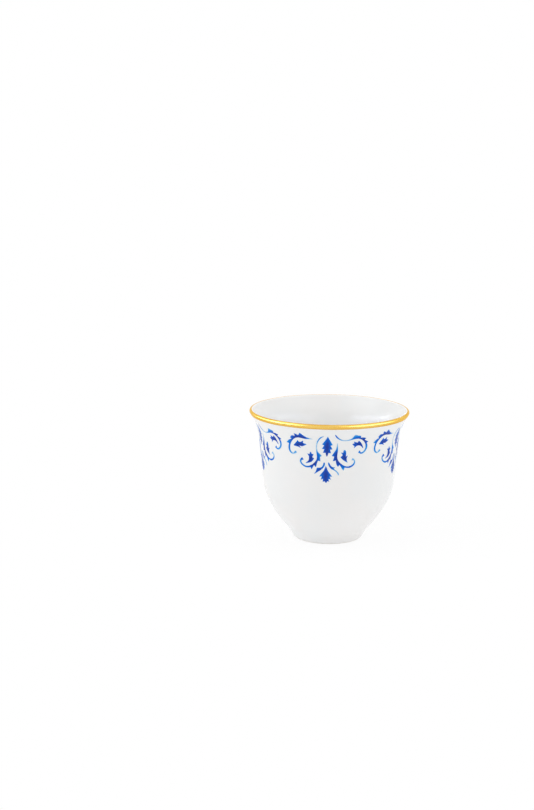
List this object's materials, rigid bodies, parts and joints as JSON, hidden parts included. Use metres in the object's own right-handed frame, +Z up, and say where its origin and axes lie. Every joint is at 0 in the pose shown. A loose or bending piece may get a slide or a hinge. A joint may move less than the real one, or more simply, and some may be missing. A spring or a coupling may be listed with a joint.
{
  "type": "arabic coffee cup",
  "caption": "Small handleless porcelain coffee cup with a flared gold-lined lip, a low foot and printed blue scrolls.",
  "frame": {"origin": "centre of the foot's standing ring, on the table", "axes": "+Z up along the cup's axis, towards the mouth; -Y towards the middle of the first printed scroll"},
  "size_m": [0.0674, 0.0674, 0.0551],
  "materials": {
    "bare_porcelain": "matte",
    "white_glaze": "polished",
    "gold_lustre": "polished",
    "cobalt_enamel": "gloss"
  },
  "bodies": {
    "root": {"porcelain_body": "bare_porcelain", "glaze_coat": "white_glaze", "gold_rim_line": "gold_lustre", "scroll_print_1": "cobalt_enamel", "scroll_print_2": "cobalt_enamel", "scroll_print_3": "cobalt_enamel", "scroll_print_4": "cobalt_enamel", "scroll_print_5": "cobalt_enamel"}
  },
  "joints": []
}
